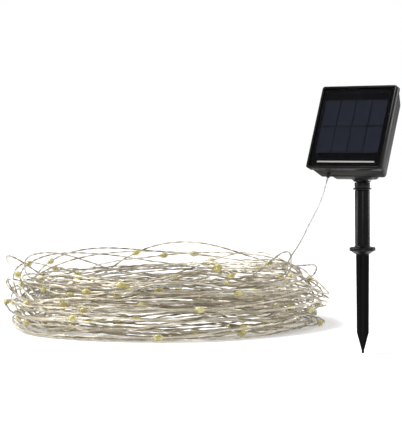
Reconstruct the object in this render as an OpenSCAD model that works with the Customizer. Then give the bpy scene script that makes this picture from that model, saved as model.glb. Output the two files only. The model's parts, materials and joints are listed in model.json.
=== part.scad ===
// Solar string lights: a tilting solar head on a two-piece ground stake, with a coiled light string.
// Origin at the tip of the ground spike, +Z up along the stake, the panel facing -Y.

/* [Solar head] */
// Width and height of the front frame
frame_w = 88; // [80:1:100]
// Depth of the front frame
frame_d = 7; // [7:0.5:9]
// Depth of the back shell behind the front frame
shell_d = 14; // [13:0.5:18]
// Depth of the battery hump behind the back shell
hump_d = 7; // [6.5:0.5:9]
// Width of the battery hump
hump_w = 53; // [50:1:56]
// Wall thickness of the casing
wall = 2; // [1.6:0.2:2.4]
// Lean of the panel back from upright, in degrees
tilt = 21.5; // [5:0.5:60]

/* [Solar panel] */
// Width of the visible rim around the panel
rim = 2.2; // [1.5:0.1:3]
// Number of cells in a row
cell_columns = 4; // [2:1:6]
// Number of rows of cells
cell_rows = 2; // [1:1:3]
// Width of the whole field of cells
cell_field_w = 73.2; // [60:0.2:76]
// Height of the whole field of cells
cell_field_h = 56; // [40:0.5:60]
// Gap between neighbouring cells
cell_gap = 1.1; // [0.6:0.1:2]
// Height of the middle of the cells above the middle of the frame
cell_field_z = 0.8; // [0:0.1:2]

/* [Stake] */
// Height of the tilt pivot above the tip of the spike
pivot_z = 180; // [172:1:260]
// Height of the joint between the pole tube and the spike
joint_z = 101; // [80:0.2:110]
// Height at which the spike starts to narrow to its point
point_z = 21; // [12:1:30]
// Outer diameter of the pole tube
tube_dia = 15.2; // [14.8:0.1:17]
// Bore of the pole tube
tube_bore = 12.4; // [12:0.1:12.6]
// Diameter of the ground flange
flange_dia = 26.4; // [22:0.2:40]
// Width of the spike at its top
spike_w = 13.4; // [12:0.1:15]
// Thickness of the spike's ribs
rib_t = 2.4; // [2:0.1:3.5]
// Turn of the spike's ribs about the stake, in degrees
spike_turn = 38; // [0:1:90]

/* [Light string] */
// Diameter of the twisted pair of wires
wire_dia = 2; // [1.2:0.1:3]
// Outer diameter of the coiled string
coil_dia = 380; // [300:5:400]
// Width of the coiled bundle
coil_w = 58; // [40:1:70]
// Height of the coiled bundle
coil_h = 64; // [50:1:80]
// Length of a light-emitting diode's resin drop
bead_l = 10; // [6:0.5:11]
// Diameter of a light-emitting diode's resin drop
bead_dia = 7; // [4:0.2:8]
// Number of resin drops on the outside of the bundle
bead_count = 24; // [12:3:36]

/* [Hidden] */
$fn = 48;
eps = 0.01;

// Depths through the head, measured back from the front face of the frame.
frame_r = 2.6;
half_w = frame_w / 2;
groove = 0.9;
cover_w = frame_w - 2 * rim - 2 * groove;
cover_y = 0.3;
cover_t = 1.2;
board_y = cover_y + cover_t;
board_t = 1.6;
cell_t = 0.3;
panel_seal_y = board_y + board_t;
panel_seal_t = 1;
ledge_y = panel_seal_y + panel_seal_t;
ledge_t = 0.9;
window_w = frame_w - 14;
casing_seal_y = ledge_y + ledge_t;
casing_seal_t = 1;
socket_w = frame_w - 4.8;
spigot_gap = 0.2;
spigot_w = socket_w - 2 * spigot_gap;
spigot_t = 1.7;
shell_y = frame_d;
back_y = shell_y + shell_d;
hump_y = back_y + hump_d;

// Outline of the back shell where it meets the frame, and at its back.
shell_front_w = frame_w - 2;
shell_front_top = half_w - 1.5;
shell_front_bottom = 1 - half_w;
shell_back_w = frame_w - 10;
shell_back_top = half_w - 11;
shell_back_bottom = -half_w - 2;
shell_r = 3;
hump_bottom = shell_back_bottom;
hump_top = hump_bottom + 65;
hump_r = 4;

// Screws and posts.
boss_dia = 7;
boss_x = half_w - 9.5;
boss_top = shell_back_top - 5;
boss_bottom = 8.2 - half_w;
boss_y = 10;
screw_dia = 2.5;
pilot_dia = 2.6;
screw_hole = 3;
screw_head_dia = 4.8;
head_pocket_dia = 5.4;
head_pocket_d = 4;
screw_head_t = 1.8;
driver_slot = 0.6;

// Circuit board, its posts and its switches.
pcb_y = 8.5;
pcb_t = 1.6;
pcb_back = pcb_y + pcb_t;
pcb_w = 60;
pcb_top = boss_top + 2;
pcb_bottom = pcb_top - 48;
post_dia = 5;
post_x = 27;
post_rise = 5;
switch_w = 6;
switch_t = 3.5;
plunger_dia = 3;
plunger_t = 0.6;
button_x = 10;
button_z = boss_top - 3;
button_dia = 8;
button_hole = 8.4;
button_lip_dia = 10;
button_lip_t = 1.2;
button_gap = 0.2;
button_proud = 1.2;
button_stem_end = pcb_back + switch_t + plunger_t + 1;
// Chips on the board as lower left corner, width, height and thickness; round parts as centre, diameter
// and height.
CHIPS = [[-22, -6, 9, 7, 1.6], [14, -10, 5, 5, 1.2], [-26, 4, 3, 1.6, 1]];
CANS = [[20, 2, 7, 4], [-18, 10, 5, 6]];

// Battery and its compartment.
cell_dia = 14.2;
cell_len = 43;
cell_y = back_y - 2.6;
cell_nub_dia = 5;
cell_nub_t = 1;
door_w = hump_w - 6;
door_t = 1.4;
door_ledge = 2;
door_gap = 0.2;
door_corner = 2;
door_seal_t = 0.3;
door_seal_w = 1.6;
door_post_dia = 5;
door_post_len = 5;
door_screw_x = door_w / 2 - 3.7;
contact_t = 0.4;
contact_w = 9;
spring_turns = 3;
spring_wire = 0.6;
spring_pitch = 0.75;
spring_room = 2.8;
contact_room = 0.6;
cradle_end = 1.2;
cradle_side = 2.5;

// Tilt pivot behind the bottom of the hump, in the head's own frame.
pivot_back = hump_y + 9.5;
pivot_up = 5.4 - half_w;
lug_r = 6.5;
lug_gap = 4.2;
lug_t = 4;
lug_out = lug_gap + lug_t;
bolt_dia = 5;
bolt_hole = 5.1;
washer_t = 0.8;
washer_dia = 10;
bolt_head_dia = 8.6;
bolt_head_t = 3.5;
nut_w = 8;
nut_t = 4;

// The door ends above the lugs, and the cell lies behind it with its top end near the door's top.
door_low = pivot_up + lug_r + 0.3;
door_high = hump_top - wall;
door_mid = (door_low + door_high) / 2;
cell_low = door_high - door_ledge - cell_len;

// Lead exit in the bottom wall of the back shell.
gland_x = -25.5;
gland_y = back_y - 5.5;
gland_hole = 4.2;
gland_neck_dia = 4;
gland_flange_dia = 6;
gland_flange_t = 1.5;
gland_len = 3;

// Neck and pole.
neck_dia = 15.8;
neck_top = pivot_z - lug_r - 0.3;
tongue_t = 8;
ring_dia = 18.8;
ring_t = 1.5;
ring_z = neck_top - 7.2;
tube_top = ring_z - 0.3;
plug_dia = tube_bore - 0.1;
plug_len = 14;
flange_t = 4;
flange_z = joint_z + 3;
spike_plug_len = 12;
spike_low_w = spike_w - 1.4;
spike_tip_w = 0.8;
collar_t = 1.8;

// Coil of light string, lying on the ground beside the stake.
coil_x = -340;
coil_y = 103;
coil_in = coil_dia / 2 - coil_w;
coil_out = coil_dia / 2;
coil_round = 8;
bead_low = 12;
bead_high = coil_h - 24;

// Route of the lead from the strain relief down to the top of the coil.
LEAD_ROUTE = [[-25.5, -24.4, 178.1], [-26, -26.8, 172.5], [-29, -24.5, 167], [-37, -15, 161.5],
    [-48, -2, 156], [-64, 17, 148], [-83, 38, 139], [-107, 66, 129], [-131, 94, 119.5], [-158, 127, 109],
    [-186, 160, 98.5], [-211, 189, 89], [-235, 216, 80.5], [-253, 236, 73], [-266, 251, 67.5],
    [-270, 256, 64.5]];

// Places a piece from the head's own frame, where Y runs back from the front face and Z up the panel.
module in_head() {
    translate([0, 0, pivot_z]) rotate([-tilt, 0, 0]) translate([0, -pivot_back, -pivot_up]) children();
}

// Gives a flat outline in the head's X and Z a depth from y0 back to y1.
module slab(y0, y1) {
    translate([0, y1, 0]) rotate([90, 0, 0]) linear_extrude(y1 - y0) children();
}

// Rectangle with rounded corners, from its width, lower edge, upper edge and corner radius.
module rounded(w, low, high, r) {
    translate([-w / 2 + r, low]) square([w - 2 * r, high - low]);
    translate([-w / 2, low + r]) square([w, high - low - 2 * r]);
    for (x = [-w / 2 + r, w / 2 - r], z = [low + r, high - r]) translate([x, z]) circle(r);
}

module rounded_square(w, r) {
    rounded(w, -w / 2, w / 2, r);
}

module rod(dia, y0, y1, x, z) {
    translate([x, y1, z]) rotate([90, 0, 0]) cylinder(d = dia, h = y1 - y0);
}

module at_bosses() {
    for (x = [-boss_x, boss_x], z = [boss_bottom, boss_top]) translate([x, 0, z]) children();
}

module at_posts() {
    for (x = [-post_x, post_x], z = [pcb_bottom + post_rise, pcb_top - post_rise - 6])
        translate([x, 0, z]) children();
}

module at_door_screws() {
    for (side = [-1, 1]) translate([side * door_screw_x, 0, door_mid]) children();
}

// Slotted countersunk screw along the head's Y axis, its head at the back.
module screw(y0, y1, dia, head_dia, head_t) {
    difference() {
        union() {
            rod(dia, y0, y1 - head_t + eps, 0, 0);
            rod(head_dia, y1 - head_t, y1, 0, 0);
        }
        translate([-head_dia, y1 - driver_slot, -driver_slot / 2])
            cube([2 * head_dia, 2 * driver_slot, driver_slot]);
    }
}

module front_frame() {
    color("#26282a") in_head() difference() {
        union() {
            difference() {
                slab(0, frame_d) rounded_square(frame_w, frame_r);
                slab(-1, ledge_y) rounded_square(frame_w - 2 * rim, 1);
                slab(-1, frame_d + 1) rounded_square(window_w, 1);
                slab(casing_seal_y, frame_d + 1) rounded_square(socket_w, 1);
            }
            at_bosses() rod(boss_dia, ledge_y, boss_y, 0, 0);
        }
        at_bosses() rod(pilot_dia, ledge_y + 1, boss_y + 1, 0, 0);
    }
}

module panel_cover() {
    color("#1d2a3c", 0.5) in_head() difference() {
        slab(cover_y, board_y) rounded_square(cover_w, 0.8);
        slab(board_y - cell_t, board_y + 1) translate([0, cell_field_z])
            square([cell_field_w + 1, cell_field_h + 1], center = true);
        slab(board_y - cell_t, board_y + 1) ribbon_outline(0.4);
    }
}

// Outline of the strip under the cells, which lies a little to the right of the middle.
module ribbon_outline(grow) {
    ribbon_l = cell_field_w - 5.8;
    ribbon_h = 1.5;
    translate([1.1, 7.1 - half_w]) square([ribbon_l + grow, ribbon_h + grow], center = true);
}

module solar_cells() {
    cell_w = (cell_field_w - (cell_columns - 1) * cell_gap) / cell_columns;
    cell_h = (cell_field_h - (cell_rows - 1) * cell_gap) / cell_rows;
    color("#232f45") in_head()
        for (column = [0 : cell_columns - 1], row = [0 : cell_rows - 1])
            translate([-cell_field_w / 2 + column * (cell_w + cell_gap), 0,
                cell_field_z - cell_field_h / 2 + row * (cell_h + cell_gap)])
                slab(board_y - cell_t + 0.05, board_y) square([cell_w, cell_h]);
}

module bus_ribbon() {
    color("#d9dadb") in_head() slab(board_y - cell_t + 0.05, board_y) ribbon_outline(0);
}

module panel_board() {
    color("#15171b") in_head() slab(board_y, panel_seal_y) rounded_square(cover_w, 0.8);
}

module panel_seal() {
    color("#303030") in_head() difference() {
        slab(panel_seal_y, ledge_y) rounded_square(cover_w, 0.8);
        slab(panel_seal_y - 1, ledge_y + 1) rounded_square(window_w, 1);
    }
}

module casing_seal() {
    color("#3c3c3c") in_head() difference() {
        slab(casing_seal_y, casing_seal_y + casing_seal_t) rounded_square(spigot_w, 1);
        slab(casing_seal_y - 1, casing_seal_y + 2) rounded_square(spigot_w - 2 * spigot_t, 1);
    }
}

// Tapered body of the back shell, made smaller all round by the given inset.
module shell_form(inset, y0, y1) {
    hull() {
        slab(y0, y0 + 0.5) rounded(shell_front_w - 2 * inset, shell_front_bottom + inset,
            shell_front_top - inset, shell_r - inset, $fn = 32);
        slab(y1 - 0.5, y1) rounded(shell_back_w - 2 * inset, shell_back_bottom + inset,
            shell_back_top - inset, shell_r - inset, $fn = 32);
    }
}

module lug(x) {
    reach = pivot_back - hump_y + wall / 2;
    translate([x, 0, 0]) {
        rotate([0, 90, 0]) cylinder(r = lug_r, h = lug_t);
        translate([0, -reach, -lug_r + 0.5]) cube([lug_t, reach, 2 * lug_r - 0.5]);
    }
}

module back_shell() {
    color("#1c1d1f") in_head() difference() {
        union() {
            difference() {
                union() {
                    shell_form(0, shell_y, back_y);
                    slab(back_y - wall, hump_y) rounded(hump_w, hump_bottom, hump_top, hump_r);
                    slab(casing_seal_y + casing_seal_t, shell_y + 1) rounded_square(spigot_w, 1);
                }
                shell_form(wall, shell_y - eps, back_y - wall);
                slab(casing_seal_y, shell_y + 1) rounded_square(spigot_w - 2 * spigot_t, 1);
                slab(back_y - 2 * wall, hump_y - wall)
                    rounded(hump_w - 2 * wall, hump_bottom + wall, hump_top - wall, hump_r - wall);
            }
            at_bosses() rod(boss_dia, boss_y, back_y - 0.5, 0, 0);
            at_posts() rod(post_dia, pcb_back, back_y - 0.5, 0, 0);
            at_door_screws() rod(door_post_dia, hump_y - door_t - door_post_len, hump_y - door_t, 0, 0);
            translate([0, pivot_back, pivot_up]) {
                lug(lug_gap);
                lug(-lug_out);
            }
        }
        at_bosses() {
            rod(screw_hole, boss_y - 1, back_y + 1, 0, 0);
            rod(head_pocket_dia, back_y - head_pocket_d, back_y + 1, 0, 0);
        }
        at_posts() rod(screw_dia - 0.4, pcb_back - 1, back_y - wall - 1, 0, 0);
        for (x = [-button_x, button_x]) rod(button_hole, back_y - 2 * wall, back_y + 1, x, button_z);
        door_pocket();
        translate([0, pivot_back, pivot_up]) rotate([0, 90, 0])
            cylinder(d = bolt_hole, h = 4 * lug_out, center = true);
        translate([gland_x, gland_y, shell_back_bottom - 1]) cylinder(d = gland_hole, h = wall + 4);
    }
}

// Recess for the door, with the battery opening through its floor and a pilot hole in each post.
module door_pocket() {
    difference() {
        union() {
            slab(hump_y - door_t, hump_y + 1) rounded(door_w, door_low, door_high, door_corner);
            slab(hump_y - wall - 1, hump_y + 1)
                rounded(door_w - 2 * door_ledge, door_low + door_ledge, door_high - door_ledge, 1);
        }
        at_door_screws() rod(door_post_dia, hump_y - wall - 2, hump_y - door_t, 0, 0);
    }
    at_door_screws() rod(screw_dia - 0.4, hump_y - door_t - door_post_len + 1, hump_y + 1, 0, 0);
}

module casing_screws() {
    color("silver") in_head() at_bosses()
        screw(ledge_y + 2, back_y - head_pocket_d + screw_head_t, screw_dia, screw_head_dia, screw_head_t);
}

module circuit_board() {
    color("#1f5c33") in_head() difference() {
        slab(pcb_y, pcb_back) rounded(pcb_w, pcb_bottom, pcb_top, 2);
        at_posts() rod(screw_dia, pcb_y - 1, pcb_back + 1, 0, 0);
    }
}

module board_screws() {
    color("silver") in_head() at_posts() mirror([0, 1, 0]) translate([0, -2 * pcb_y, 0])
        screw(pcb_y - 5, pcb_y + 1.2, screw_dia - 0.5, 4, 1.2);
}

module controller_parts() {
    color("#222222") in_head() {
        for (c = CHIPS) translate([c[0], pcb_back, c[1]]) cube([c[2], c[4], c[3]]);
        for (c = CANS) rod(c[2], pcb_back, pcb_back + c[3], c[0], c[1]);
    }
}

module push_switches() {
    color("#3a3a3a") in_head() for (x = [-button_x, button_x]) {
        translate([x - switch_w / 2, pcb_back, button_z - switch_w / 2])
            cube([switch_w, switch_t, switch_w]);
        rod(plunger_dia, pcb_back + switch_t - eps, pcb_back + switch_t + plunger_t, x, button_z);
    }
}

module button_cap(x) {
    lip_back = back_y - wall - button_gap;
    rod(button_dia, lip_back - eps, back_y + button_proud, x, button_z);
    rod(button_lip_dia, lip_back - button_lip_t, lip_back, x, button_z);
    rod(plunger_dia, button_stem_end, lip_back - button_lip_t + eps, x, button_z);
}

module power_button() {
    color("#b8382c") in_head() button_cap(-button_x);
}

module mode_button() {
    color("#8d9092") in_head() button_cap(button_x);
}

module battery_cell() {
    color("#3e6fb0") in_head() translate([0, cell_y, cell_low]) {
        cylinder(d = cell_dia, h = cell_len - cell_nub_t);
        cylinder(d = cell_nub_dia, h = cell_len);
    }
}

// Open box round the cell, with a channel for the cell and a slot in its floor.
module battery_cradle() {
    cradle_w = cell_dia + 2 * cradle_side;
    cradle_y = pcb_back + 1.2;
    cradle_back = cell_y + 1;
    channel_l = spring_room + cell_len + contact_room;
    slot_end = 10;
    color("#2b2b2b") in_head() difference() {
        translate([-cradle_w / 2, cradle_y, cell_low - spring_room - cradle_end])
            cube([cradle_w, cradle_back - cradle_y, channel_l + 2 * cradle_end]);
        translate([0, cell_y, cell_low - spring_room]) cylinder(d = cell_dia + 0.6, h = channel_l);
        translate([-cell_dia / 4, cradle_y - 1, cell_low + slot_end])
            cube([cell_dia / 2, 4, cell_len - 2 * slot_end]);
    }
}

// Plate at the top of the cell, and a plate with a tapering spring under it.
module battery_contacts() {
    spring_r = 3.8;
    color("#c9c9c4") in_head() translate([0, cell_y, cell_low]) {
        for (z = [cell_len + 0.05, 0.1 - spring_room])
            translate([-contact_w / 2, -contact_w / 2, z]) cube([contact_w, contact_w, contact_t]);
        for (turn = [0 : spring_turns - 1]) translate([0, 0, 0.9 - spring_room + turn * spring_pitch])
            rotate_extrude() translate([spring_r - turn / 2, 0]) circle(d = spring_wire, $fn = 24);
    }
}

module battery_door() {
    color("#222325") in_head() difference() {
        slab(hump_y - door_t + door_seal_t, hump_y)
            rounded(door_w - 2 * door_gap, door_low + door_gap, door_high - door_gap, door_corner);
        at_door_screws() rod(screw_dia, hump_y - door_t - 1, hump_y + 1, 0, 0);
    }
}

module door_seal() {
    low = door_low + 2 * door_gap;
    high = door_high - 2 * door_gap;
    color("#555555") in_head() difference() {
        slab(hump_y - door_t, hump_y - door_t + door_seal_t)
            rounded(door_w - 4 * door_gap, low, high, door_corner);
        slab(hump_y - door_t - 1, hump_y)
            rounded(door_w - 4 * door_gap - 2 * door_seal_w, low + door_seal_w, high - door_seal_w, 1);
        at_door_screws() rod(screw_dia, hump_y - door_t - 1, hump_y, 0, 0);
    }
}

module door_screws() {
    color("silver") in_head() at_door_screws()
        screw(hump_y - door_t - door_post_len + 1.2, hump_y + 1, screw_dia - 0.5, 4, 1);
}

module pivot_bolt() {
    grip = lug_out + washer_t;
    color("#9a9c9e") in_head() translate([0, pivot_back, pivot_up]) rotate([0, 90, 0]) {
        translate([0, 0, -grip]) cylinder(d = bolt_dia, h = 2 * grip + nut_t + 1);
        difference() {
            translate([0, 0, -grip - bolt_head_t]) cylinder(d = bolt_head_dia, h = bolt_head_t);
            translate([0, 0, -grip - bolt_head_t - 1]) cylinder(d = 5, h = 2.6, $fn = 6);
        }
    }
}

module pivot_nut() {
    color("#9a9c9e") in_head() translate([lug_out + washer_t, pivot_back, pivot_up]) rotate([0, 90, 0])
        difference() {
            cylinder(d = nut_w / cos(30), h = nut_t, $fn = 6);
            translate([0, 0, -1]) cylinder(d = bolt_dia + 0.04, h = nut_t + 2);
        }
}

module pivot_washers() {
    color("silver") in_head() translate([0, pivot_back, pivot_up]) rotate([0, 90, 0])
        for (z = [-lug_out - washer_t, lug_out]) translate([0, 0, z]) difference() {
            cylinder(d = washer_dia, h = washer_t);
            translate([0, 0, -1]) cylinder(d = bolt_hole, h = washer_t + 2);
        }
}

// Tapered strain relief through the bottom wall, with a flange inside.
module lead_gland() {
    flange_z0 = shell_back_bottom + wall + 2;
    tip_z = shell_back_bottom - gland_len;
    color("#2a2a2a") in_head() translate([gland_x, gland_y, 0]) difference() {
        union() {
            translate([0, 0, shell_back_bottom - eps])
                cylinder(d = gland_neck_dia, h = flange_z0 - shell_back_bottom + 2 * eps);
            translate([0, 0, flange_z0]) cylinder(d = gland_flange_dia, h = gland_flange_t);
            translate([0, 0, tip_z]) cylinder(d1 = wire_dia + 1, d2 = gland_neck_dia, h = gland_len);
        }
        translate([0, 0, tip_z - 1])
            cylinder(d = wire_dia + 0.1, h = flange_z0 + gland_flange_t - tip_z + 2);
    }
}

module neck() {
    tongue_r = lug_r;
    stem_d = 10;
    color("#232426") difference() {
        union() {
            translate([-tongue_t / 2, 0, pivot_z]) rotate([0, 90, 0]) cylinder(r = tongue_r, h = tongue_t);
            translate([-tongue_t / 2, -stem_d / 2, neck_top - 1])
                cube([tongue_t, stem_d, pivot_z - neck_top + 1]);
            translate([0, 0, ring_z + ring_t]) cylinder(d = neck_dia, h = neck_top - ring_z - ring_t);
            translate([0, 0, tube_top - plug_len])
                cylinder(d = plug_dia, h = ring_z + ring_t - tube_top + plug_len + eps);
        }
        translate([0, 0, pivot_z]) rotate([0, 90, 0])
            cylinder(d = bolt_hole, h = 4 * tongue_t, center = true);
    }
}

module swivel_ring() {
    color("#303234") translate([0, 0, ring_z]) difference() {
        cylinder(d = ring_dia, h = ring_t);
        translate([0, 0, -1]) cylinder(d = plug_dia + 0.04, h = ring_t + 2);
    }
}

// Tube with a ground flange near its foot and a flared underside below the flange.
module pole_tube() {
    tube_r = tube_dia / 2;
    flange_r = flange_dia / 2;
    bore_r = tube_bore / 2;
    color("#202123") rotate_extrude() polygon([
        [bore_r, joint_z], [tube_r + 0.2, joint_z], [tube_r + 1, joint_z + 0.7], [tube_r + 4.4, flange_z],
        [flange_r - 0.4, flange_z], [flange_r, flange_z + 0.4], [flange_r, flange_z + flange_t - 1],
        [flange_r - 0.6, flange_z + flange_t - 0.4], [tube_r + 1, flange_z + flange_t],
        [tube_r, flange_z + flange_t + 1], [tube_r, tube_top - 0.5], [tube_r - 0.5, tube_top],
        [bore_r, tube_top]]);
}

module spike_rib() {
    rib_top = joint_z - collar_t / 2;
    rib_w = spike_w - 0.3;
    rotate([90, 0, 0]) translate([0, 0, -rib_t / 2]) linear_extrude(rib_t) polygon([
        [-rib_w / 2, rib_top], [-spike_low_w / 2, point_z], [-spike_tip_w / 2, 0],
        [spike_tip_w / 2, 0], [spike_low_w / 2, point_z], [rib_w / 2, rib_top]]);
}

module ground_spike() {
    color("#141414") rotate([0, 0, spike_turn]) {
        for (turn = [0, 90]) rotate([0, 0, turn]) spike_rib();
        translate([0, 0, joint_z - collar_t]) cylinder(d = spike_w, h = collar_t);
        translate([0, 0, joint_z - collar_t / 3]) cylinder(d = plug_dia, h = spike_plug_len);
    }
}

// Smooth curve through the route's points: each stretch is a cubic that leaves along its neighbours' chord.
function curve_point(p, i, t) =
    let (n = len(p) - 1, a = p[max(i - 1, 0)], b = p[i], c = p[min(i + 1, n)], d = p[min(i + 2, n)])
    0.5 * (2 * b + t * (c - a) + t * t * (2 * a - 5 * b + 4 * c - d) + t * t * t * (3 * b - a - 3 * c + d));

function unit(v) = v / norm(v);

function curve(p, steps) = [for (i = [0 : len(p) - 2], s = [0 : steps - 1]) curve_point(p, i, s / steps),
    p[len(p) - 1]];

// Tube swept along a path: rings of corners square to the path, joined by quads, with flat ends.
module tube(path, dia, sides) {
    n = len(path);
    corners = [for (i = [0 : n - 1])
        let (along = unit(path[min(i + 1, n - 1)] - path[max(i - 1, 0)]),
            across = unit(cross(along, [1, 0.2, 0])), up = cross(across, along))
        for (k = [0 : sides - 1])
            path[i] + dia / 2 * (cos(360 * k / sides) * across + sin(360 * k / sides) * up)];
    walls = [for (i = [0 : n - 2], k = [0 : sides - 1])
        [i * sides + k, i * sides + (k + 1) % sides, (i + 1) * sides + (k + 1) % sides, (i + 1) * sides + k]];
    ends = [[for (k = [sides - 1 : -1 : 0]) k], [for (k = [0 : sides - 1]) (n - 1) * sides + k]];
    polyhedron(corners, concat(walls, ends));
}

module lead_wire() {
    color("#b8b2a2") tube(curve(LEAD_ROUTE, 5), wire_dia, 8);
}

module string_coil() {
    color("#c2bba8") translate([coil_x, coil_y, 0]) rotate_extrude($fn = 96) polygon([
        [coil_in + coil_round, 0], [coil_out - coil_round, 0], [coil_out, coil_round],
        [coil_out, coil_h - 2 * coil_round], [coil_out - coil_round, coil_h],
        [coil_in + coil_round, coil_h], [coil_in, coil_h - coil_round], [coil_in, coil_round]]);
}

// Resin drop along X: a short barrel between two cones.
module bead() {
    barrel_l = bead_l / 3;
    rotate([0, 90, 0]) rotate_extrude() polygon([
        [0, -bead_l / 2], [bead_dia / 2, -barrel_l / 2], [bead_dia / 2, barrel_l / 2], [0, bead_l / 2]]);
}

// Drops round the bundle at three heights, their centres on its outer wall.
module led_beads() {
    color("#c3bd5c") translate([coil_x, coil_y, 0]) for (i = [0 : bead_count - 1])
        rotate([0, 0, 360 * (i + 0.5) / bead_count])
            translate([coil_out - 0.6, 0, bead_low + (i % 3) * (bead_high - bead_low) / 2])
                rotate([0, 0, 90]) bead();
}

// Heat-shrink cap over the string's end, lying on the ground against the foot of the coil.
module end_cap() {
    cap_l = 10;
    cap_dia = 4;
    cap_r = coil_out - coil_round + 3.2;
    cap_turn = 140;
    color("#d8d5cc") translate([coil_x, coil_y, cap_dia / 2]) rotate([0, 0, cap_turn])
        translate([cap_r, -cap_l / 2, 0]) rotate([-90, 0, 0]) cylinder(d = cap_dia, h = cap_l);
}

front_frame();
panel_cover();
solar_cells();
bus_ribbon();
panel_board();
panel_seal();
casing_seal();
back_shell();
casing_screws();
circuit_board();
board_screws();
controller_parts();
push_switches();
battery_cell();
battery_cradle();
battery_contacts();
battery_door();
door_seal();
door_screws();
power_button();
mode_button();
pivot_bolt();
pivot_nut();
pivot_washers();
lead_gland();
neck();
swivel_ring();
pole_tube();
ground_spike();
lead_wire();
string_coil();
led_beads();
end_cap();
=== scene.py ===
import json
import math

import bmesh
import bpy
import numpy as np
from mathutils import Matrix, Vector


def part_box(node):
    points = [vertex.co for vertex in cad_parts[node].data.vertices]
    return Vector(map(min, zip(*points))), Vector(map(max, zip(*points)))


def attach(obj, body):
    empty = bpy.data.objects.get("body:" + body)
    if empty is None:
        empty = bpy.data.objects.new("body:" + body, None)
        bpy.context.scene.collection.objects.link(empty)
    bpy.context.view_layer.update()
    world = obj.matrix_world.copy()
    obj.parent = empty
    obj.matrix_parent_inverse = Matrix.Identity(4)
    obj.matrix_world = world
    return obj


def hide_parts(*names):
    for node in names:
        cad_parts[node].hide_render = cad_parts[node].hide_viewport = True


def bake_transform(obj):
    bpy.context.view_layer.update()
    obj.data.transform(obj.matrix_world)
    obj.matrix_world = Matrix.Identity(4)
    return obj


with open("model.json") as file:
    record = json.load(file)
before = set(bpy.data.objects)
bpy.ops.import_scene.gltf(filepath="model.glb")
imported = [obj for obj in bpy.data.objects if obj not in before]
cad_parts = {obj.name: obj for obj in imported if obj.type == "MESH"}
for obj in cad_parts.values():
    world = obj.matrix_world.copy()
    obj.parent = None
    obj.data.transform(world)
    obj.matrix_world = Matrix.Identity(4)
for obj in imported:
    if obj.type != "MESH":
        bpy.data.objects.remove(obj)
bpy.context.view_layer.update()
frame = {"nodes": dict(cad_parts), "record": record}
nodes = frame["nodes"]
print("frame loaded:", len(nodes), "nodes")

mm = 0.001
fullTurn = 2 * math.pi


# Shader maths: a Signal wraps a socket, and an expression on Signals adds Math nodes.
class Signal:
    def __init__(self, shader, socket):
        self.shader = shader
        self.socket = socket

    def maths(self, operation, *values):
        return self.shader.add("ShaderNodeMath", {"operation": operation}, dict(enumerate(values)))

    def __add__(self, other):
        return self.maths("ADD", self, other)

    def __mul__(self, other):
        return self.maths("MULTIPLY", self, other)

    __radd__ = __add__
    __rmul__ = __mul__

    def wave(self):
        return self.maths("SINE", self)


# The node tree of a material or a world, with the node that its colours and values end in.
class Shader:
    def __init__(self, owner, surface):
        owner.use_nodes = True
        self.owner = owner
        self.tree = owner.node_tree
        self.surface = self.tree.nodes[surface]

    # A node of any kind: its settings first, then a value or a Signal for each socket named or numbered.
    def add(self, kind, settings, inputs, output=0):
        node = self.tree.nodes.new(kind)
        for key, value in settings.items():
            if key == "stops":
                self.setStops(node.color_ramp, value)
            else:
                setattr(node, key, value)
        for key, value in inputs.items():
            self.feed(node.inputs[key], value)
        return Signal(self, node.outputs[output])

    def feed(self, socket, value):
        if isinstance(value, Signal):
            self.tree.links.new(value.socket, socket)
        else:
            socket.default_value = value

    def setStops(self, ramp, stops):
        while len(ramp.elements) < len(stops):
            ramp.elements.new(0.5)
        for element, (place, tone) in zip(ramp.elements, stops):
            element.position = place
            element.color = (*tone, 1)

    def place(self):
        return self.add("ShaderNodeTexCoord", {}, {}, "Object")

    def axis(self, which):
        return self.add("ShaderNodeSeparateXYZ", {}, {0: self.place()}, which)

    def noise(self, scale, detail=3, stretch=(1, 1, 1)):
        where = self.place()
        if stretch != (1, 1, 1):
            where = self.add("ShaderNodeMapping", {}, {"Vector": where, "Scale": stretch})
        inputs = {"Vector": where, "Scale": scale, "Detail": detail}
        return self.add("ShaderNodeTexNoise", {}, inputs, "Fac")

    def ramp(self, signal, stops):
        return self.add("ShaderNodeValToRGB", {"stops": stops}, {"Fac": signal}, "Color")

    # Colour between two colours or Signals of colour.
    def mix(self, factor, a, b):
        inputs = {0: factor, 6: withAlpha(a), 7: withAlpha(b)}
        return self.add("ShaderNodeMix", {"data_type": "RGBA"}, inputs, 2)

    def bump(self, height, strength, distance):
        inputs = {"Height": height, "Strength": strength, "Distance": distance}
        return self.add("ShaderNodeBump", {}, inputs, "Normal")

    def finish(self, **sockets):
        for key, value in sockets.items():
            self.feed(self.surface.inputs[key.replace("_", " ")], value)
        return self.owner


def withAlpha(value):
    return value if isinstance(value, Signal) else (*value, 1)


def newMaterial(name):
    return Shader(bpy.data.materials.new(name), "Principled BSDF")


# Plastic: a slow mottle in tone and gloss, and a fine moulded grain in gloss and bump.
mould = {"mottle": 60, "darker": 0.82, "lighter": 1.22, "mottleGloss": 0.16, "grainGloss": 0.06,
         "meanGloss": 0.11, "bump": 0.35}


def mouldedPlastic(name, tone, rough, grain, depth, shine=0.16):
    s = newMaterial(name)
    mottle = s.noise(mould["mottle"])
    fine = s.noise(grain, detail=2)
    darker = [c * mould["darker"] for c in tone]
    lighter = [min(1, c * mould["lighter"]) for c in tone]
    gloss = mottle * mould["mottleGloss"] + fine * mould["grainGloss"] + (rough - mould["meanGloss"])
    return s.finish(Base_Color=s.mix(mottle, darker, lighter), Roughness=gloss,
                    Normal=s.bump(fine, mould["bump"], depth), Specular_IOR_Level=shine)


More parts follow.
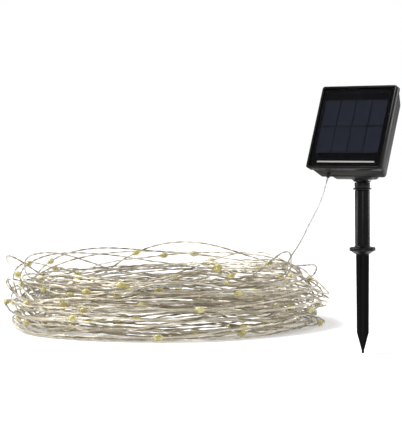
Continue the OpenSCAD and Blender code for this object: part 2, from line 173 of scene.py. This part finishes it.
framePlastic = mouldedPlastic("framePlastic", (0.005, 0.005, 0.005), rough=0.28, grain=1800,
                              depth=0.03 * mm, shine=0.12)
shellPlastic = mouldedPlastic("shellPlastic", (0.011, 0.011, 0.010), rough=0.38, grain=1400,
                              depth=0.06 * mm, shine=0.12)
polePlastic = mouldedPlastic("polePlastic", (0.004, 0.004, 0.004), rough=0.26, grain=1500,
                             depth=0.03 * mm, shine=0.2)
spikePlastic = mouldedPlastic("spikePlastic", (0.003, 0.003, 0.003), rough=0.42, grain=900,
                              depth=0.08 * mm, shine=0.07)
sealRubber = mouldedPlastic("sealRubber", (0.02, 0.02, 0.02), rough=0.7, grain=1000,
                            depth=0.05 * mm)
blackLaminate = mouldedPlastic("blackLaminate", (0.0015, 0.0015, 0.002), rough=0.35, grain=700,
                               depth=0.02 * mm, shine=0.03)
chipPlastic = mouldedPlastic("chipPlastic", (0.02, 0.02, 0.02), rough=0.5, grain=1500,
                             depth=0.03 * mm)
redButton = mouldedPlastic("redButton", (0.40, 0.04, 0.03), rough=0.45, grain=1200,
                           depth=0.03 * mm)
greyButton = mouldedPlastic("greyButton", (0.22, 0.23, 0.24), rough=0.45, grain=1200,
                            depth=0.03 * mm)

cell = {"fingerPitch": 1.5 * mm, "fingerStrength": 0.35, "streakScale": 260, "streakStrength": 0.3,
        "streakStretch": (1, 0.02, 0.02), "crystalScale": 90,
        "dark": (0.0035, 0.0055, 0.012), "light": (0.007, 0.010, 0.020),
        "fingerTone": (0.018, 0.020, 0.028), "streakTone": (0.008, 0.011, 0.020),
        "rough": 0.3, "roughSpread": 0.12, "shine": 0.05}


# Silicon: crystal mottle, fine contact fingers as a sine across the cell, and long faint streaks.
def siliconCell(settings):
    s = newMaterial("siliconCell")
    finger = (s.axis("X") * (fullTurn / settings["fingerPitch"])).wave()
    streak = s.noise(settings["streakScale"], stretch=settings["streakStretch"])
    crystal = s.noise(settings["crystalScale"], detail=2)
    base = s.mix(crystal, settings["dark"], settings["light"])
    base = s.mix((finger + 1) * 0.5 * settings["fingerStrength"], base, settings["fingerTone"])
    base = s.mix(streak * settings["streakStrength"], base, settings["streakTone"])
    return s.finish(Base_Color=base, Roughness=streak * settings["roughSpread"] + settings["rough"],
                    Specular_IOR_Level=settings["shine"])


cover = {"hazeScale": 400, "dark": (0.02, 0.02, 0.03), "light": (0.04, 0.04, 0.05), "rough": 0.09,
         "roughSpread": 0.06, "alpha": 0.04}


def clearCover(settings):
    s = newMaterial("clearCover")
    haze = s.noise(settings["hazeScale"], detail=2)
    return s.finish(Base_Color=s.mix(haze, settings["dark"], settings["light"]),
                    Roughness=haze * settings["roughSpread"] + settings["rough"], Alpha=settings["alpha"])


metal = {"brushScale": 900, "toneScale": 120, "darker": 0.85, "roughSpread": 0.2, "bump": 0.15,
         "depth": 0.05 * mm}


# Bare metal: brushed gloss, with the noise drawn out along one axis where the metal is rolled.
def brightMetal(name, tone, rough, stretch=(1, 1, 1)):
    s = newMaterial(name)
    brushed = s.noise(metal["brushScale"], stretch=stretch)
    broad = s.noise(metal["toneScale"])
    return s.finish(Base_Color=s.mix(broad, [c * metal["darker"] for c in tone], tone), Metallic=1.0,
                    Roughness=brushed * metal["roughSpread"] + rough,
                    Normal=s.bump(brushed, metal["bump"], metal["depth"]))


zincSteel = brightMetal("zincSteel", (0.62, 0.62, 0.62), rough=0.25)
tinnedRibbon = brightMetal("tinnedRibbon", (0.50, 0.49, 0.46), rough=0.3, stretch=(0.05, 1, 1))

# The wire ramps run from painted shade to painted highlight, and the tone attribute picks a place on them
# along each wire.
stringFinish = {"tones": [(0.2, (0.23, 0.195, 0.14)), (0.45, (0.50, 0.445, 0.34)),
                          (0.62, (0.68, 0.62, 0.50)), (0.85, (0.94, 0.90, 0.80))],
                "metal": 0.6, "rough": 0.26}
leadFinish = {"tones": [(0.2, (0.36, 0.36, 0.35)), (0.5, (0.52, 0.52, 0.51)), (0.85, (0.70, 0.70, 0.69))],
              "metal": 0.3, "rough": 0.3}
lacquer = {"tarnishScale": 140, "paintedLightShare": 0.8, "tarnishShare": 0.2, "roughSpread": 0.2, "coat": 0.35,
           "coatRough": 0.15}


# Tinned wire under clear lacquer: each stretch keeps its own tone, from the piece's tone attribute, which
# paints highlight and shade along the wire in streaks of lighter and darker colour.
def twistedWire(name, settings):
    s = newMaterial(name)
    tone = s.add("ShaderNodeAttribute", {"attribute_name": "tone"}, {}, "Fac")
    tarnish = s.noise(lacquer["tarnishScale"])
    # Painted highlight and shade along the wire, with a little tarnish noise.
    blend = tone * lacquer["paintedLightShare"] + tarnish * lacquer["tarnishShare"]
    return s.finish(Base_Color=s.ramp(blend, settings["tones"]), Metallic=settings["metal"],
                    Roughness=tarnish * lacquer["roughSpread"] + settings["rough"],
                    Coat_Weight=lacquer["coat"], Coat_Roughness=lacquer["coatRough"])


stringWire = twistedWire("stringWire", stringFinish)
leadWireFinish = twistedWire("leadWireFinish", leadFinish)

resin = {"cloudScale": 160, "rough": 0.1, "roughSpread": 0.1, "alpha": 0.6, "coatRough": 0.04,
         "tones": [(0.3, (0.46, 0.38, 0.07)), (0.52, (0.74, 0.66, 0.24)), (0.72, (0.94, 0.90, 0.60))]}


def resinDrop(settings):
    s = newMaterial("resinDrop")
    cloud = s.noise(settings["cloudScale"])
    return s.finish(Base_Color=s.ramp(cloud, settings["tones"]), Alpha=settings["alpha"],
                    Roughness=cloud * settings["roughSpread"] + settings["rough"],
                    Coat_Weight=1.0, Coat_Roughness=settings["coatRough"])


ledResin = resinDrop(resin)
coat = {"roughSpread": 0.15, "bump": 0.1, "depth": 0.05 * mm}


# Lacquer, film or powder: a soft change between two tones, with the same change in gloss and bump.
def plainCoat(name, low, high, rough, scale=200):
    s = newMaterial(name)
    broad = s.noise(scale)
    return s.finish(Base_Color=s.mix(broad, low, high), Roughness=broad * coat["roughSpread"] + rough,
                    Normal=s.bump(broad, coat["bump"], coat["depth"]))


boardGreen = plainCoat("boardGreen", (0.01, 0.10, 0.04), (0.02, 0.16, 0.06), rough=0.3)
batteryWrap = plainCoat("batteryWrap", (0.03, 0.12, 0.36), (0.05, 0.17, 0.46), rough=0.25)
clearShrink = plainCoat("clearShrink", (0.55, 0.53, 0.45), (0.68, 0.66, 0.58), rough=0.25)
ledPhosphor = plainCoat("ledPhosphor", (0.28, 0.21, 0.01), (0.48, 0.37, 0.03), rough=0.4, scale=500)

nodeFinish = {
    "front_frame": framePlastic, "back_shell": shellPlastic, "battery_door": shellPlastic,
    "panel_cover": clearCover(cover), "solar_cells": siliconCell(cell), "bus_ribbon": tinnedRibbon,
    "panel_board": blackLaminate, "panel_seal": sealRubber, "casing_seal": sealRubber,
    "door_seal": sealRubber, "casing_screws": zincSteel, "circuit_board": boardGreen,
    "board_screws": zincSteel, "controller_parts": chipPlastic, "push_switches": chipPlastic,
    "battery_cell": batteryWrap, "battery_cradle": shellPlastic, "battery_contacts": zincSteel,
    "door_screws": zincSteel, "power_button": redButton, "mode_button": greyButton,
    "pivot_bolt": zincSteel, "pivot_nut": zincSteel, "pivot_washers": zincSteel,
    "lead_gland": sealRubber, "neck": polePlastic, "swivel_ring": polePlastic,
    "pole_tube": polePlastic, "ground_spike": spikePlastic, "end_cap": clearShrink}
for name, finish in nodeFinish.items():
    nodes[name].data.materials.clear()
    nodes[name].data.materials.append(finish)
print("materials on", len(nodeFinish), "nodes")


def linked(name, data):
    piece = bpy.data.objects.new(name, data)
    bpy.context.scene.collection.objects.link(piece)
    return piece


def smoothShaded(mesh):
    mesh.polygons.foreach_set("use_smooth", np.ones(len(mesh.polygons), bool))


def meshPiece(name, points, faces, finish):
    mesh = bpy.data.meshes.new(name)
    mesh.from_pydata(points.reshape(-1, 3), [], faces)
    mesh.materials.append(finish)
    smoothShaded(mesh)
    mesh.update()
    return linked(name, mesh)


# Faces of a closed tube: quads between neighbouring rings, the last column joined to the first,
# and a flat cap at each end.
def tubeFaces(rings, sides):
    i = np.arange(rings - 1)[:, None] * sides
    j = np.arange(sides)[None, :]
    k = (j + 1) % sides
    quads = np.stack([i + j, i + k, i + sides + k, i + sides + j], axis=-1).reshape(-1, 4).tolist()
    last = (rings - 1) * sides
    return quads + [list(range(sides))[::-1], list(range(last, last + sides))]


# Points at even steps of length along a polyline.
def evenly(line, step):
    lengths = np.linalg.norm(np.diff(line, axis=0), axis=1)
    along = np.concatenate([[0], np.cumsum(lengths)])
    at = np.linspace(0, along[-1], int(along[-1] / step) + 1)
    return np.stack([np.interp(at, along, line[:, axis]) for axis in range(3)], axis=1)


# Moving average along a line, weighted by a raised cosine, with both ends kept where they are.
def relaxed(line, width):
    kernel = np.hanning(width + 2)[1:-1]
    kernel /= kernel.sum()
    half = width // 2
    padded = np.concatenate([np.repeat(line[:1], half, 0), line, np.repeat(line[-1:], half, 0)])
    return np.stack([np.convolve(padded[:, axis], kernel, "valid") for axis in range(3)], axis=1)


# Unit vectors along, across and over a line, with across square to a fixed side direction.
def axesAlong(line, side):
    along = np.gradient(line, axis=0)
    along /= np.linalg.norm(along, axis=1, keepdims=True)
    across = np.cross(along, side)
    across /= np.linalg.norm(across, axis=1, keepdims=True)
    return along, across, np.cross(across, along)


# Sum of sines of one value, with paces and phases drawn at random and its usual size as given.
def sineSum(along, draw, slow, fast, sines, size):
    pace = draw.uniform(slow, fast, sines)
    phase = draw.uniform(0, fullTurn, sines)
    return size * np.sin(fullTurn * np.outer(along, pace) + phase).sum(axis=1) / math.sqrt(sines / 2)


# Slowest and fastest pace per metre, number of sines and size, for slow and for short changes of painted
# highlight and shade along the wire.
paintedLightWaves = {"seed": 5, "middle": 0.5, "sums": ((1, 5, 8, 0.16), (8, 30, 10, 0.14))}


# Painted highlight and shade from 0 to 1 along a wire: a middle tone and sums of sines of the length.
def paintedLightAlong(length, settings):
    draw = np.random.default_rng(settings["seed"])
    tone = settings["middle"] + sum(sineSum(length, draw, *wave) for wave in settings["sums"])
    return np.clip(tone, 0, 1)


# One strand of a twisted pair: a circle carried along a helix round the line, capped at both ends.
def strand(name, line, side, phase, settings, finish):
    sides = settings["sides"]
    _, across, over = axesAlong(line, side)
    step = np.linalg.norm(line[1] - line[0])
    twist = (phase + fullTurn * np.arange(len(line)) * step / settings["pitch"])[:, None]
    middle = line + settings["offset"] * (np.cos(twist) * across + np.sin(twist) * over)
    around = (fullTurn * np.arange(sides) / sides)[None, :, None]
    ring = np.cos(around) * across[:, None] + np.sin(around) * over[:, None]
    points = middle[:, None] + settings["radius"] * ring
    piece = meshPiece(name, points, tubeFaces(len(line), sides), finish)
    # The tone attribute carries the painted highlight and shade along the wire.
    tone = piece.data.attributes.new("tone", "FLOAT", "POINT")
    tone.data.foreach_set("value", np.repeat(paintedLightAlong(step * np.arange(len(line)), paintedLightWaves), sides))
    return piece


edge = {"merge": 0.002 * mm, "flat": 0.6, "sharp": 28, "segments": 2}


# A copy of a CAD node with its flat faces merged whole and its sharp edges rounded.
def softened(name, node, width, finish, slot):
    mesh = nodes[node].data.copy()
    shape = bmesh.new()
    shape.from_mesh(mesh)
    bmesh.ops.remove_doubles(shape, verts=shape.verts, dist=edge["merge"])
    bmesh.ops.dissolve_limit(shape, angle_limit=math.radians(edge["flat"]), verts=shape.verts,
                             edges=shape.edges)
    shape.to_mesh(mesh)
    shape.free()
    mesh.materials.clear()
    mesh.materials.append(finish)
    smoothShaded(mesh)
    piece = linked(name, mesh)
    bevel = piece.modifiers.new("edges", "BEVEL")
    bevel.width = width
    bevel.segments = edge["segments"]
    bevel.limit_method = "ANGLE"
    bevel.angle_limit = math.radians(edge["sharp"])
    bevel.harden_normals = True
    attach(piece, bodyOf[node])
    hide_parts(node)


bodyOf = {node: body for body, members in frame["record"]["behaviour"]["bodies"].items() for node in members}
# Name, node, radius of its edges, finish and slot.
softenedNodes = [("frameShell", "front_frame", 0.45 * mm, framePlastic, "frame_plastic"),
                 ("backShell", "back_shell", 0.4 * mm, shellPlastic, "shell_plastic"),
                 ("batteryDoor", "battery_door", 0.3 * mm, shellPlastic, "shell_plastic"),
                 ("neckJoint", "neck", 0.4 * mm, polePlastic, "pole_plastic"),
                 ("swivelRing", "swivel_ring", 0.3 * mm, polePlastic, "pole_plastic"),
                 ("poleTube", "pole_tube", 0.3 * mm, polePlastic, "pole_plastic"),
                 ("groundSpike", "ground_spike", 0.3 * mm, spikePlastic, "spike_plastic"),
                 ("powerButton", "power_button", 0.4 * mm, redButton, "power_button"),
                 ("modeButton", "mode_button", 0.4 * mm, greyButton, "mode_button")]
for row in softenedNodes:
    softened(*row)
print("softened", len(softenedNodes), "nodes")

view = {"azimuth": 37.72, "distance": 1.8064, "aside": 0.1632, "height": 0.2284, "dip": 2.88, "roll": 0.45,
        "lens": 147.04, "sensor": 36}


# A camera that stands off the stake along an azimuth and a little aside, and looks slightly down.
def makeCamera(settings):
    data = bpy.data.cameras.new("camera")
    data.sensor_width = settings["sensor"]
    data.lens = settings["lens"]
    camera = linked("camera", data)
    turn = math.radians(settings["azimuth"])
    dip = math.radians(settings["dip"])
    roll = math.radians(settings["roll"])
    level = Vector((math.cos(turn), math.sin(turn), 0))
    away = Vector((-math.sin(turn), math.cos(turn), 0))
    look = away * math.cos(dip) - Vector((0, 0, math.sin(dip)))
    above = level.cross(look)
    right = level * math.cos(roll) - above * math.sin(roll)
    up = level * math.sin(roll) + above * math.cos(roll)
    camera.matrix_world = Matrix((right, up, -look)).transposed().to_4x4()
    camera.location = -away * settings["distance"] - level * settings["aside"]
    camera.location.z = settings["height"]
    bpy.context.scene.camera = camera


makeCamera(view)

pair = {"offset": 0.5 * mm, "radius": 0.59 * mm, "pitch": 30 * mm, "sides": 6, "rings": 8,
        "diameter": 2.0 * mm}
leadPair = {**pair, "pitch": 14 * mm}
# The bundle is a ring: seats are shared out over its width and height, low seats a little closer.
# Swings from seat to seat begin within swayFrom of a turn and take the share sway of it.
coil = {"centre": (-0.340, 0.103), "outer": 0.189, "width": 0.056, "height": 0.063, "turns": 56,
        "spareSeats": 4, "seatStep": 0.618, "seatStart": 0.3, "outward": 1.15, "low": 1.12,
        "shoulder": 0.024, "shoulderFrom": 0.4, "shoulderPower": 1.5, "sway": 0.4, "swayFrom": 0.34,
        "startAngle": 65.4, "endAngle": 140.0, "rest": 1.15 * mm, "restSoft": 1.5 * mm,
        "steps": 900, "seed": 11}
# Neighbouring turns drift together, in waves that fit the round whole. Each turn also wanders alone:
# slowest and fastest waves per turn, number of sines and size.
drift = {"size": 2.2 * mm, "waves": (2, 3, 5, 7), "outLean": 1.7, "upLean": -2.3, "heightLean": 1.9}
wander = ((1.3, 7.0, 9, 2.0 * mm), (16.0, 44.0, 14, 0.3 * mm))
# Loose loops that stand off the bundle: turn, angle, distance from the middle, height and spread.
strays = [(3, 158, 0.170, 0.080, 62), (9, 120, 0.164, 0.086, 44), (14, 84, 0.160, 0.076, 50),
          (21, 212, 0.188, 0.080, 24), (26, 58, 0.156, 0.080, 20), (31, 44, 0.178, 0.066, 26),
          (35, 236, 0.186, 0.060, 28), (40, 140, 0.176, 0.074, 70), (44, 176, 0.174, 0.076, 56),
          (17, 40, 0.193, 0.028, 12), (29, 30, 0.192, 0.036, 14), (38, 205, 0.193, 0.050, 20),
          (6, 104, 0.178, 0.072, 60), (12, 196, 0.182, 0.068, 40), (19, 186, 0.180, 0.078, 30)]
leadRoute = np.array([
    (-25.5, -23.5, 180.2), (-25.5, -24.4, 178.1), (-26, -26.8, 172.5), (-29, -24.5, 167),
    (-37, -15, 161.5), (-48, -2, 156), (-64, 17, 148), (-83, 38, 139), (-107, 66, 129),
    (-131, 94, 119.5), (-158, 127, 109), (-186, 160, 98.5), (-211, 189, 89), (-235, 216, 80.5),
    (-253, 236, 73), (-266, 251, 67.5), (-270, 256, 64.5)]) * mm
leadLay = {"landing": 0.03, "coilTurns": 1.6, "ease": 200, "curveSteps": 12, "smooth": 9}
stringLay = {"smooth": 5, "tail": 400}
roughStep = 2 * mm


# Smooth step from 0 to 1: three times the square less twice the cube.
def smoothStep(value):
    share = np.clip(value, 0, 1)
    return share * share * (3 - 2 * share)


# Centre line of the bundle's turns: at each turn the wire keeps a seat in the bundle's section,
# swings over to its next seat, and wanders by sums of sines; a loose loop pulls it to its own place
# by a bell curve of the angle. Near the ground the height bends over so that it never goes below it.
def coilLine(settings, firstTurn, lastTurn):
    t = np.linspace(firstTurn, lastTurn, int((lastTurn - firstTurn) * settings["steps"]))
    draw = np.random.default_rng(settings["seed"])
    seats = settings["turns"] + settings["spareSeats"]
    order = draw.permutation(seats)
    inward = (order * settings["seatStep"] + settings["seatStart"]) % 1
    seat = np.stack([inward, ((order + 0.5) / seats) ** settings["low"]], axis=1)
    start = draw.uniform(0, settings["swayFrom"], seats)
    k = np.floor(t).astype(int)
    swing = smoothStep((t - k - start[k]) / settings["sway"])[:, None]
    across, up = (seat[k] * (1 - swing) + seat[k + 1] * swing).T
    out = settings["outer"] - settings["width"] * (1 - across) ** settings["outward"]
    overShoulder = (up - settings["shoulderFrom"]) / (1 - settings["shoulderFrom"])
    out -= settings["shoulder"] * across * np.clip(overShoulder, 0, 1) ** settings["shoulderPower"]
    high = settings["height"] * up
    for target, lean in ((out, drift["outLean"]), (high, drift["upLean"])):
        phases = draw.uniform(0, fullTurn, len(drift["waves"]))
        for waves, phase in zip(drift["waves"], phases):
            place = fullTurn * waves * t + phase + lean * across + drift["heightLean"] * up
            target += drift["size"] / math.sqrt(waves) * np.sin(place)
    for wave in wander:
        out += sineSum(t, draw, *wave)
        high += sineSum(t, draw, *wave)
    angle = settings["startAngle"] + 360 * t
    for turn, at, distance, height, spread in strays:
        pull = np.exp(-((angle - (360 * turn + at)) / spread) ** 2)
        out += pull * (distance - out)
        high += pull * (height - high)
    rest, soft = settings["rest"], settings["restSoft"]
    high = rest + np.logaddexp(0, (high - rest) / soft) * soft
    turned = np.radians(angle)
    x, y = settings["centre"]
    return np.stack([x + out * np.cos(turned), y + out * np.sin(turned), high], axis=1)


# Smooth curve through a short list of points: a cubic for each stretch, which passes through its
# two ends with the slope from the point before to the point after.
def curveThrough(points, steps):
    before = points[:1] * 2 - points[1:2]
    after = points[-1:] * 2 - points[-2:-1]
    p = np.concatenate([before, points, after])
    a, b, c, d = (p[i:len(p) - 3 + i, None] for i in range(4))
    t = (np.arange(steps) / steps)[None, :, None]
    square = t ** 2 * (2 * a - 5 * b + 4 * c - d)
    cube = t ** 3 * (3 * b - a - 3 * c + d)
    curve = 0.5 * (2 * b + t * (c - a) + square + cube)
    return np.concatenate([curve.reshape(-1, 3), points[-1:]])


def lengthOf(line):
    return float(np.linalg.norm(np.diff(line, axis=0), axis=1).sum())


# The lead hangs along its route and eases into the coil's own turns.
free = curveThrough(leadRoute, leadLay["curveSteps"])
laid = coilLine(coil, leadLay["landing"], leadLay["coilTurns"])
ease = np.clip(np.arange(len(laid)) / leadLay["ease"], 0, 1)[:, None]
laid = laid * ease + (laid - laid[:1] + free[-1:]) * (1 - ease)
leadRough = evenly(np.concatenate([free, laid[1:]]), roughStep)
leadLine = evenly(relaxed(leadRough, leadLay["smooth"]), leadPair["pitch"] / leadPair["rings"])

# The string goes on from there, and its last stretch leaves the coil for the cap at its end.
lastAngle = (coil["endAngle"] - coil["startAngle"]) / 360
stringEnd = leadLay["coilTurns"] + coil["turns"] + (lastAngle - leadLay["coilTurns"]) % 1
stringRaw = coilLine(coil, leadLay["coilTurns"], stringEnd)
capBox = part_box("end_cap")
capMiddle = np.array((capBox[0] + capBox[1]) / 2)
toEnd = np.arange(len(stringRaw)) - len(stringRaw) + stringLay["tail"]
stringRaw = stringRaw + smoothStep(toEnd / stringLay["tail"])[:, None] * (capMiddle - stringRaw[-1])
stringSmooth = relaxed(evenly(stringRaw, roughStep), stringLay["smooth"])
stringLine = evenly(stringSmooth, pair["pitch"] / pair["rings"])
stringLength = lengthOf(stringLine)
print("lead", round(lengthOf(leadLine), 3), "m, string", round(stringLength, 3), "m")

# Drops sit at even steps along the string, and one that would sink into the ground lifts the wire
# by what it lacks, in a bell curve of its own reach.
drops = {"spacing": 0.5, "first": 0.2, "last": 0.1, "reach": 25 * mm, "length": 13 * mm, "width": 8 * mm,
         "rings": 7, "sides": 8, "blunt": 0.06, "fullness": 0.7, "chip": (2.4 * mm, 1.6 * mm, 1.5 * mm)}
stepLength = stringLength / (len(stringLine) - 1)
dropPlaces = np.arange(drops["first"], stringLength - drops["last"], drops["spacing"])
dropAt = (dropPlaces / stepLength).astype(int)
lacking = np.maximum(drops["width"] / 2 - stringLine[dropAt, 2], 0)
apart = (np.arange(len(stringLine))[:, None] - dropAt[None]) * stepLength / drops["reach"]
stringLine[:, 2] += (lacking * np.exp(-apart ** 2)).sum(axis=1)

leadSide, stringSide = (1, 0.2, 0), (0, 0, 1)
leadWire = strand("leadWire", leadLine, leadSide, 0, leadPair, leadWireFinish)
leadSecond = strand("leadWireSecond", leadLine, leadSide, math.pi, leadPair, leadWireFinish)
stringCord = strand("lightString", stringLine, stringSide, 0, pair, stringWire)
stringSecond = strand("lightStringSecond", stringLine, stringSide, math.pi, pair, stringWire)


# Copies of one template shape at many places, each turned by its own three axes.
def copies(name, template, faces, origins, axes, finish):
    points = origins[:, None] + np.einsum("pk,nkx->npx", template, axes)
    shifts = range(0, len(origins) * len(template), len(template))
    allFaces = [[v + shift for v in face] for shift in shifts for face in faces]
    return meshPiece(name, points, allFaces, finish)


# A drop is a circle whose radius follows the sine of the way along, to a power that fills it out.
def dropTemplate(settings):
    u = np.linspace(settings["blunt"], 1 - settings["blunt"], settings["rings"])[:, None]
    around = fullTurn * np.arange(settings["sides"]) / settings["sides"]
    radius = settings["width"] / 2 * np.sin(np.pi * u) ** settings["fullness"]
    along = np.repeat((u - 0.5) * settings["length"], settings["sides"], axis=1)
    return np.stack([along, radius * np.cos(around), radius * np.sin(around)], axis=-1).reshape(-1, 3)


along, across, over = axesAlong(stringLine, stringSide)
dropAxes = np.stack([along[dropAt], across[dropAt], over[dropAt]], axis=1)
dropFaces = tubeFaces(drops["rings"], drops["sides"])
ledDrops = copies("ledDrops", dropTemplate(drops), dropFaces, stringLine[dropAt], dropAxes, ledResin)
corner = np.array([(x, y, z) for x in (-1, 1) for y in (-1, 1) for z in (-1, 1)])
boxFaces = [[0, 1, 3, 2], [4, 6, 7, 5], [0, 4, 5, 1], [2, 3, 7, 6], [0, 2, 6, 4], [1, 5, 7, 3]]
ledChips = copies("ledChips", corner * drops["chip"], boxFaces, stringLine[dropAt], dropAxes, ledPhosphor)
print("drops:", len(dropAt))

for piece in (stringCord, stringSecond, ledDrops, ledChips):
    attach(piece, "neck_and_string")
for piece in (leadWire, leadSecond):
    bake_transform(piece)
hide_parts("lead_wire")
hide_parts("string_coil")
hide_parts("led_beads")

sleeve = {"offset": 0.0, "radius": 1.2 * mm, "pitch": 1.0, "sides": 12, "covers": 8}
sleeveLine = evenly(leadLine[-sleeve["covers"]:], roughStep)
splice = strand("spliceSleeve", sleeveLine, leadSide, 0, sleeve, clearShrink)
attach(splice, "neck_and_string")

ground = {"reach": 5.0, "white": (0.9, 0.9, 0.9, 1), "rough": 0.9, "glow": 0.12}


# A square sheet of pale paper that glows a little, so that it stays white beside the object.
def makeFloor(settings):
    reach = settings["reach"]
    paper = newMaterial("floorPaper").finish(Base_Color=settings["white"], Roughness=settings["rough"],
                                             Emission_Color=(1, 1, 1, 1), Emission_Strength=settings["glow"])
    points = np.array([(-reach, -reach, 0), (reach, -reach, 0), (reach, reach, 0), (-reach, reach, 0)])
    meshPiece("floor", points, [(0, 1, 2, 3)], paper)


makeFloor(ground)


# The sky is white to the camera and dimmer as a source of light, brighter overhead than at the sides.
def makeSky(tones):
    world = bpy.data.worlds.new("studio")
    bpy.context.scene.world = world
    sky = Shader(world, "Background")
    place = sky.add("ShaderNodeTexCoord", {}, {}, "Generated")
    height = sky.add("ShaderNodeSeparateXYZ", {}, {0: place}, "Z")
    seen = sky.add("ShaderNodeLightPath", {}, {}, "Is Camera Ray")
    sky.finish(Color=sky.mix(seen, sky.ramp(height, tones), (1, 1, 1)))


makeSky([(0.0, (0.22, 0.22, 0.22)), (0.9, (0.85, 0.85, 0.85))])

sun = {"strength": 2.4, "angle": 24, "from": (-0.75, -0.45, 1.4)}
# Small square lights that draw thin gleams on the black plastic.
gleams = {"stripFront": {"place": (0.85, -1.25, 0.5), "target": (0, 0, 0.16), "size": 0.12, "power": 1.2},
          "stripLeft": {"place": (-0.88, -0.47, 0.32), "target": (0, 0, 0.15), "size": 0.3, "power": 2},
          "stripRight": {"place": (0.45, 0.9, 0.32), "target": (0, 0, 0.15), "size": 0.3, "power": 1.8},
          "stripSide": {"place": (1.2, 0.35, 0.75), "target": (0, 0, 0.2), "size": 0.2, "power": 2.2}}


def areaLight(name, settings):
    data = bpy.data.lights.new(name, "AREA")
    data.shape = "SQUARE"
    data.size = settings["size"]
    data.energy = settings["power"]
    light = linked(name, data)
    light.location = settings["place"]
    aim = Vector(settings["target"]) - Vector(settings["place"])
    light.rotation_euler = aim.to_track_quat("-Z", "Y").to_euler()


def sunLight(settings):
    data = bpy.data.lights.new("softSun", "SUN")
    data.energy = settings["strength"]
    data.angle = math.radians(settings["angle"])
    light = linked("softSun", data)
    light.rotation_euler = Vector(settings["from"]).to_track_quat("Z", "Y").to_euler()


sunLight(sun)
for name, settings in gleams.items():
    areaLight(name, settings)
bpy.context.scene.view_settings.view_transform = "Standard"
print("floor, sky and", 1 + len(gleams), "lights set")
